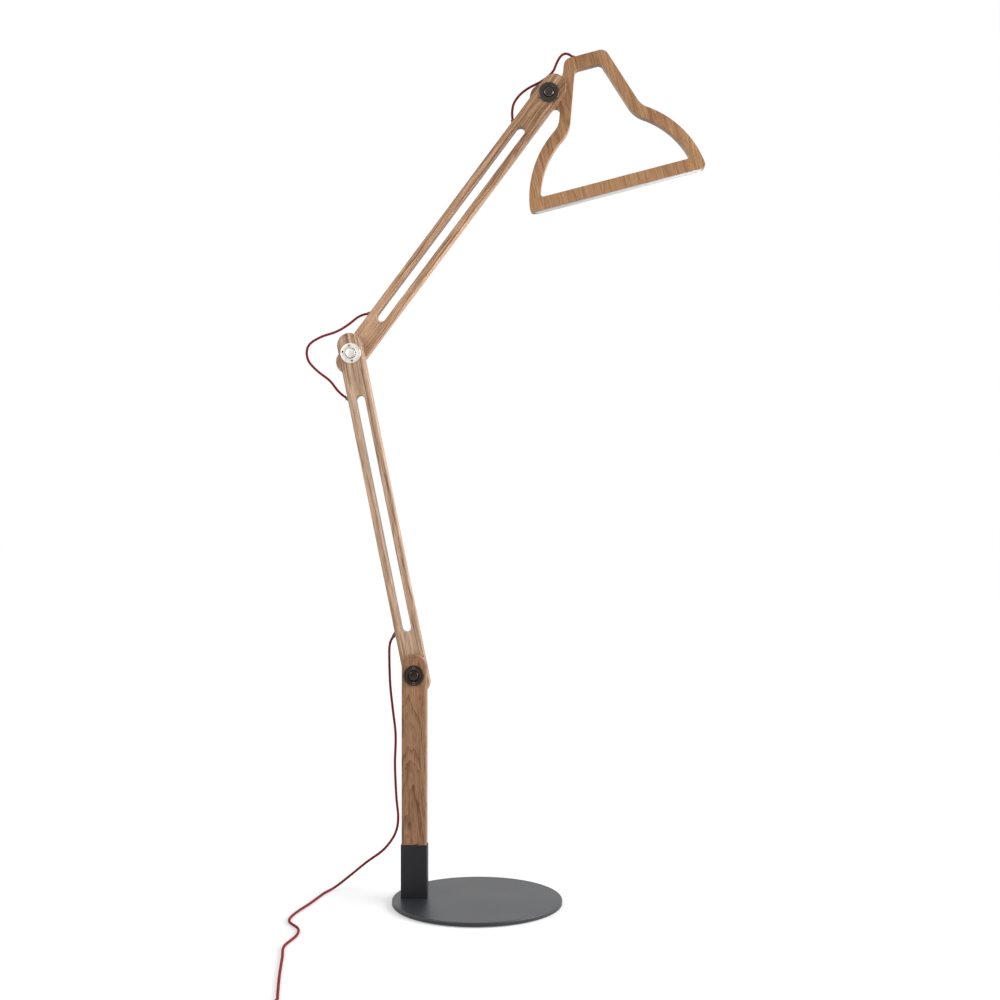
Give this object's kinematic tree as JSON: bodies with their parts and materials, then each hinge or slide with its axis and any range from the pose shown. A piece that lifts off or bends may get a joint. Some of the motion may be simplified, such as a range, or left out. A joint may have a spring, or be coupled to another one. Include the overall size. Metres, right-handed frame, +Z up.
{
  "type": "floor_lamp",
  "caption": "Swing-arm reading floor lamp of flat slotted wooden boards with friction pivots, a lampshade-outline light head, textile cord with foot switch and a round steel base.",
  "frame": {"origin": "centre of the round base's underside, on the floor", "axes": "+Z up, +X to the right along the boards' faces, towards the head, +Y to the back, square to the boards"},
  "size_m": [0.8128, 0.9669, 1.7231],
  "materials": {
    "ash_wood": "stained brown, clear matt varnish",
    "base_steel": "dark bronzed, satin",
    "felt": "pressed felt",
    "black_steel": "black satin powder coat",
    "zinc_screws": "zinc plated",
    "dark_chrome": "black chrome, polished",
    "chrome": "bright chrome, polished",
    "spring_steel": "plain spring steel",
    "bearing_plastic": "natural acetal",
    "washer_fibre": "friction fibre",
    "black_plastic": "fine texture",
    "brown_plastic": "fine texture, near the wood's brown",
    "soft_black": "soft, matt",
    "button_plastic": "smooth",
    "channel_aluminium": "anodised",
    "cap_plastic": "grey moulding",
    "led_board_white": "white solder mask",
    "led_chip": "phosphor lens",
    "opal": "opal, lets light through",
    "pin_brass": "nickel plated",
    "red_cord": "braided textile, dark red"
  },
  "bodies": {
    "base": {"base_plate": "base_steel", "floor_pad": "felt", "socket_sleeve": "black_steel", "socket_screws": "zinc_screws", "post": "ash_wood", "post_screws": "zinc_screws", "shoulder_flange": "dark_chrome", "shoulder_flange_screws": "zinc_screws", "shoulder_bolt": "dark_chrome", "shoulder_spring": "spring_steel", "shoulder_nut": "dark_chrome", "floor_lead": "red_cord", "lead_tail": "red_cord", "cord_coil": "red_cord", "coil_tie": "black_plastic", "switch_base": "black_plastic", "switch_cover": "black_plastic", "switch_reliefs": "soft_black", "plug_case": "black_plastic", "plug_face": "black_plastic", "plug_pins": "pin_brass", "plug_relief": "soft_black"},
    "lower_arm": {"lower_arm_board": "ash_wood", "shoulder_bush": "bearing_plastic", "shoulder_washer": "washer_fibre", "lower_arm_ferrule": "brown_plastic", "lead_relief": "brown_plastic", "elbow_flange": "chrome", "elbow_flange_screws": "zinc_screws", "elbow_bolt": "chrome", "elbow_spring": "spring_steel", "elbow_nut": "chrome", "elbow_loop": "red_cord"},
    "upper_arm": {"upper_arm_board": "ash_wood", "elbow_bush": "bearing_plastic", "elbow_washer": "washer_fibre", "upper_arm_ferrules": "brown_plastic", "head_flange": "dark_chrome", "head_flange_screws": "zinc_screws", "head_bolt": "dark_chrome", "head_spring": "spring_steel", "head_nut": "dark_chrome", "head_loop": "red_cord"},
    "head": {"head_frame": "ash_wood", "head_bush": "bearing_plastic", "head_washer": "washer_fibre", "head_ferrule": "brown_plastic", "led_channel": "channel_aluminium", "led_board": "led_board_white", "led_chips": "led_chip", "diffuser": "opal", "channel_caps": "cap_plastic"},
    "switch_button": {"switch_button": "button_plastic"}
  },
  "joints": [
    {"name": "shoulder", "type": "hinge", "parent": "base", "child": "lower_arm", "pos_m": [-0.126, 0, 0.455], "axis": [0, 1, 0], "range_deg": [-33.5, 56.5], "deforming": ["floor_lead"]},
    {"name": "elbow", "type": "hinge", "parent": "lower_arm", "child": "upper_arm", "pos_m": [-0.25788, 0.0375, 1.10322], "axis": [0, 1, 0], "range_deg": [-88.7, 61.3], "deforming": ["elbow_loop"]},
    {"name": "head_tilt", "type": "hinge", "parent": "upper_arm", "child": "head", "pos_m": [0.14206, 0.0625, 1.63013], "axis": [0, 1, 0], "range_deg": [-70, 70], "deforming": ["head_loop"]},
    {"name": "switch_press", "type": "slide", "parent": "base", "child": "switch_button", "axis": [0, 0, -1], "range_m": [0, 0.0025], "stiffness_N_per_m": 800}
  ]
}
